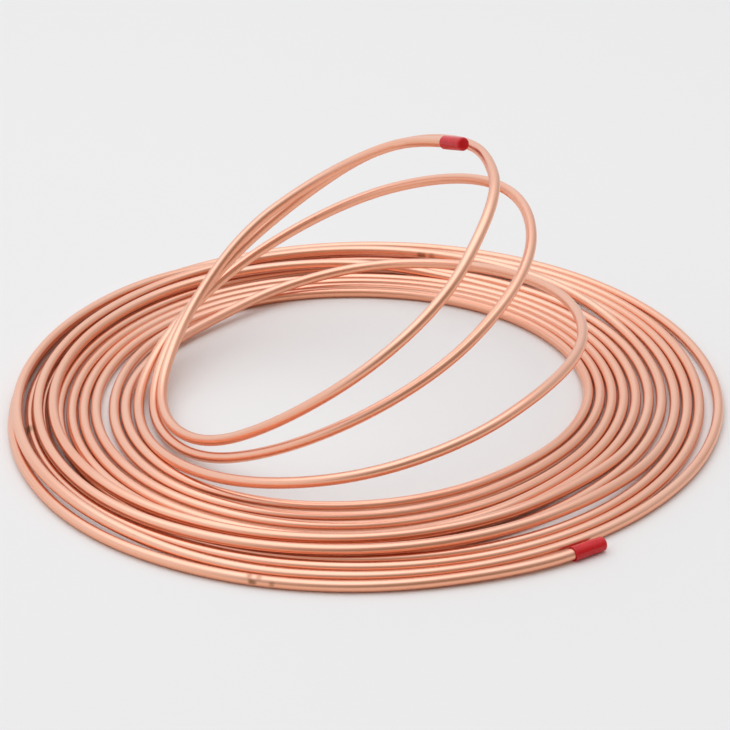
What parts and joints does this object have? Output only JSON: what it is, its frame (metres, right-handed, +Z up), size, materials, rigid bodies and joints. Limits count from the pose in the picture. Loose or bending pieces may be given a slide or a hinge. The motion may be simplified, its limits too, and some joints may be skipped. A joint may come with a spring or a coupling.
{
  "type": "copper tube coil",
  "caption": "Loose coil of thin soft copper tube lying flat, with its inner turns standing up and a push-on plastic cap on each end.",
  "frame": {"origin": "middle of the coil's box, on the floor that it lies on", "axes": "+Z up from the floor; the outer end lies in front (-Y) and to the right (+X), and the standing turns lean up towards +X and +Y"},
  "size_m": [0.4262, 0.4272, 0.1582],
  "materials": {
    "copper": "bright drawn soft copper, satin, with fine lengthwise draw marks",
    "red_plastic": "smooth red plastic, half gloss"
  },
  "bodies": {
    "root": {"copper_tube_turns_1_to_3": "copper", "copper_tube_turns_4_to_6": "copper", "copper_tube_turns_7_to_9": "copper", "copper_tube_turns_10_to_12": "copper", "copper_tube_standing_turn_1": "copper", "copper_tube_standing_turn_2": "copper", "copper_tube_standing_turn_3": "copper", "outer_end_cap": "red_plastic", "inner_end_cap": "red_plastic"}
  },
  "joints": []
}
